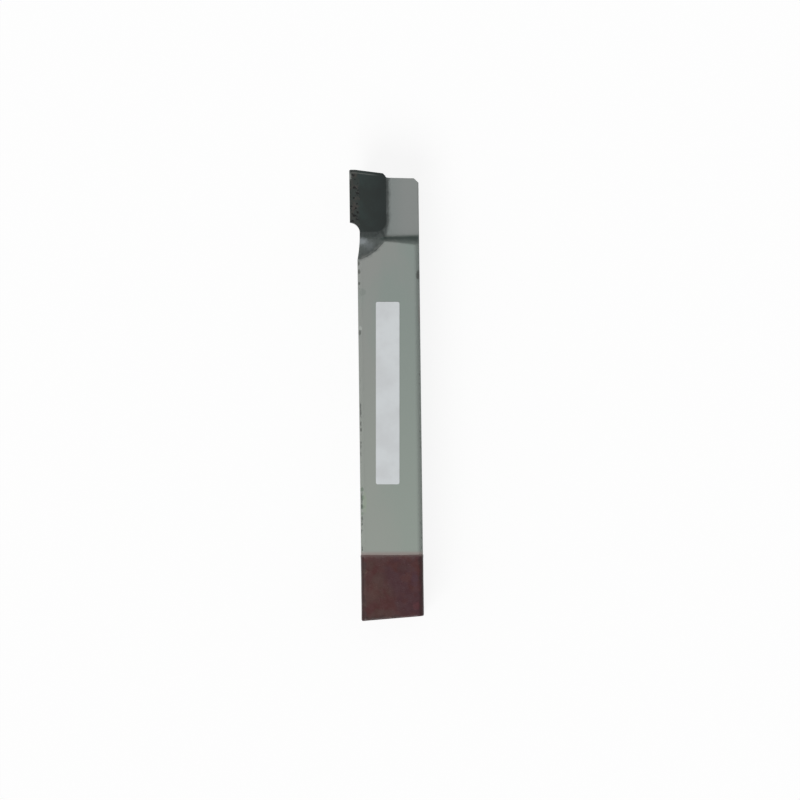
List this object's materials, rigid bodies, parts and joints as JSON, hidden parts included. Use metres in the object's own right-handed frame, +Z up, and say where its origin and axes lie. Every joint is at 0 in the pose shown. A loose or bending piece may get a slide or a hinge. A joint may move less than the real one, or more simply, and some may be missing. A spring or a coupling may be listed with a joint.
{
  "type": "carbide tipped lathe tool",
  "caption": "Square steel shank with a carbide tip brazed into a pocket at the corner of its milled head, for turning on a lathe.",
  "frame": {"origin": "centre of the shank's base face, half way along the tool", "axes": "+Y along the shank towards the cutting end, +X towards the side away from the side edge, +Z up from the base to the rake face"},
  "size_m": [0.0178, 0.1164, 0.0161],
  "materials": {
    "shank_paint": "satin grey-green paint, with a maroon dipped rear end",
    "carbide": "fine ground, dark grey",
    "braze": "dull, flux stained",
    "label_paper": "matt white, blank"
  },
  "bodies": {
    "root": {"shank": "shank_paint", "carbide_tip": "carbide", "braze_seam": "braze", "label": "label_paper"}
  },
  "joints": []
}
